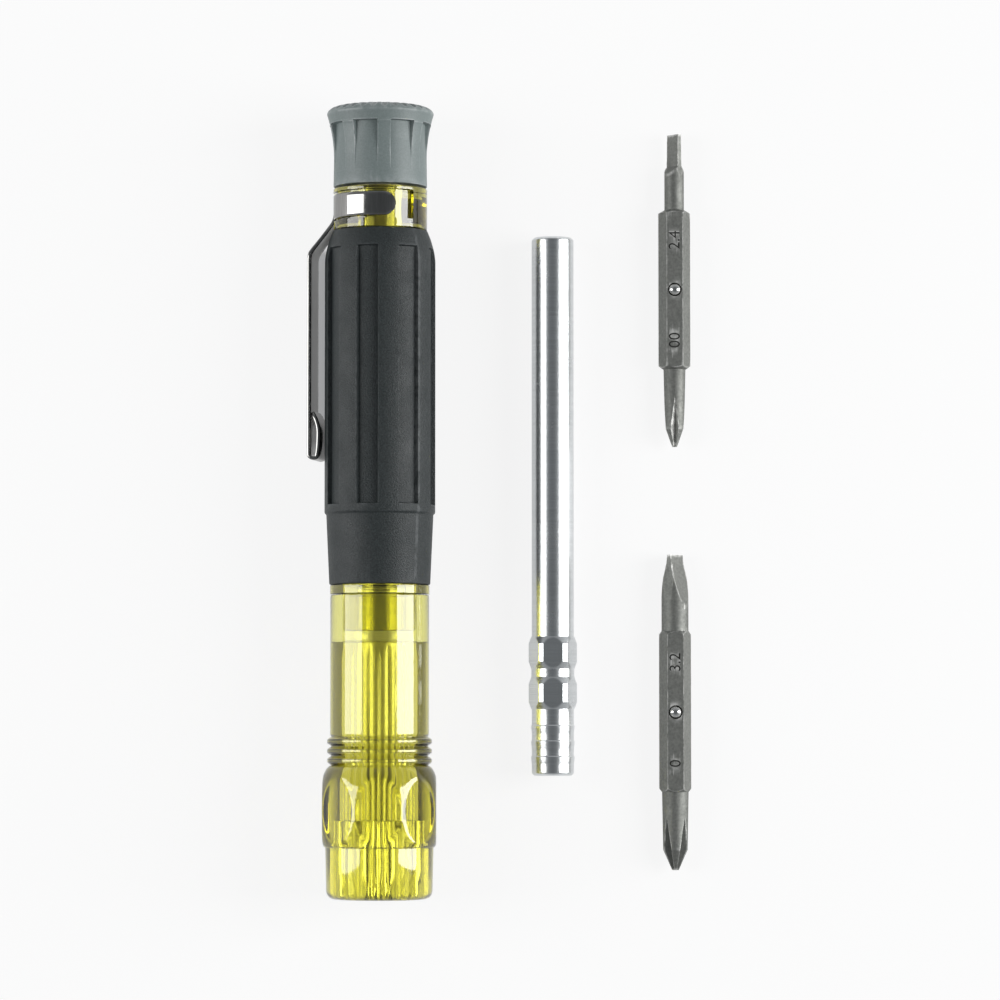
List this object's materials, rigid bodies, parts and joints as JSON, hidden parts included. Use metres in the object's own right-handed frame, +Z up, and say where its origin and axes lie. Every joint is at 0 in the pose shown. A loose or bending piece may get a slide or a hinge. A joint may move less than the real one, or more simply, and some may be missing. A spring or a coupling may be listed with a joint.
{
  "type": "pocket electronics screwdriver set",
  "caption": "Pocket electronics screwdriver: clear fluted handle with rubber grip, swivel cap and steel clip, a reversible hex-socket shaft and double-ended bits laid out beside it.",
  "frame": {"origin": "middle of the table area that the laid-out pieces cover, on the table", "axes": "+X from the handle towards the bits, +Y along the handle towards its cap, +Z up"},
  "size_m": [0.0548, 0.1126, 0.0161],
  "materials": {
    "clear_plastic": "clear yellow moulding, polished",
    "grip_rubber": "near-black moulded rubber, fine matt grain",
    "grey_plastic": "satin grey moulding",
    "natural_nylon": "natural nylon, unpainted",
    "plated_steel": "polished nickel plate",
    "turned_aluminium": "turned bright",
    "tool_steel": "satin grey hardened steel",
    "polished_steel": "polished ball",
    "spring_steel": "drawn wire"
  },
  "bodies": {
    "handle": {"front_barrel": "clear_plastic", "rear_core": "clear_plastic", "grip_sleeve": "grip_rubber", "cap_spindle": "natural_nylon", "cap_washer": "natural_nylon"},
    "cap": {"swivel_cap": "grey_plastic"},
    "clip": {"pocket_clip": "plated_steel"},
    "shaft": {"shaft": "turned_aluminium"},
    "small_bit": {"small_bit": "tool_steel", "small_bit_spring": "spring_steel"},
    "small_ball": {"small_bit_ball": "polished_steel"},
    "large_bit": {"large_bit": "tool_steel", "large_bit_spring": "spring_steel"},
    "large_ball": {"large_bit_ball": "polished_steel"}
  },
  "joints": [
    {"name": "cap_spin", "type": "hinge", "parent": "handle", "child": "cap", "pos_m": [-0.01706, 0.0505, 0.00805], "axis": [0, 1, 0], "continuous": true},
    {"name": "clip_flex", "type": "hinge", "parent": "handle", "child": "clip", "pos_m": [-0.02338, 0.04187, 0.00694], "axis": [0.1736, 0, -0.9848], "range_deg": [0, 1.8], "stiffness_Nm_per_rad": 2},
    {"name": "shaft_lift", "type": "slide", "parent": "handle", "child": "shaft", "axis": [0, 0, 1], "range_m": [0, 0.06]},
    {"name": "small_bit_lift", "type": "slide", "parent": "handle", "child": "small_bit", "axis": [0, 0, 1], "range_m": [0, 0.06]},
    {"name": "large_bit_lift", "type": "slide", "parent": "handle", "child": "large_bit", "axis": [0, 0, 1], "range_m": [0, 0.06]},
    {"name": "small_ball_press", "type": "slide", "parent": "small_bit", "child": "small_ball", "axis": [0, 0, -1], "range_m": [0, 0.0004], "stiffness_N_per_m": 1500, "springref_m": -0.0005, "deforming": ["small_bit_spring"]},
    {"name": "large_ball_press", "type": "slide", "parent": "large_bit", "child": "large_ball", "axis": [0, 0, -1], "range_m": [0, 0.0004], "stiffness_N_per_m": 1500, "springref_m": -0.0005, "deforming": ["large_bit_spring"]}
  ]
}
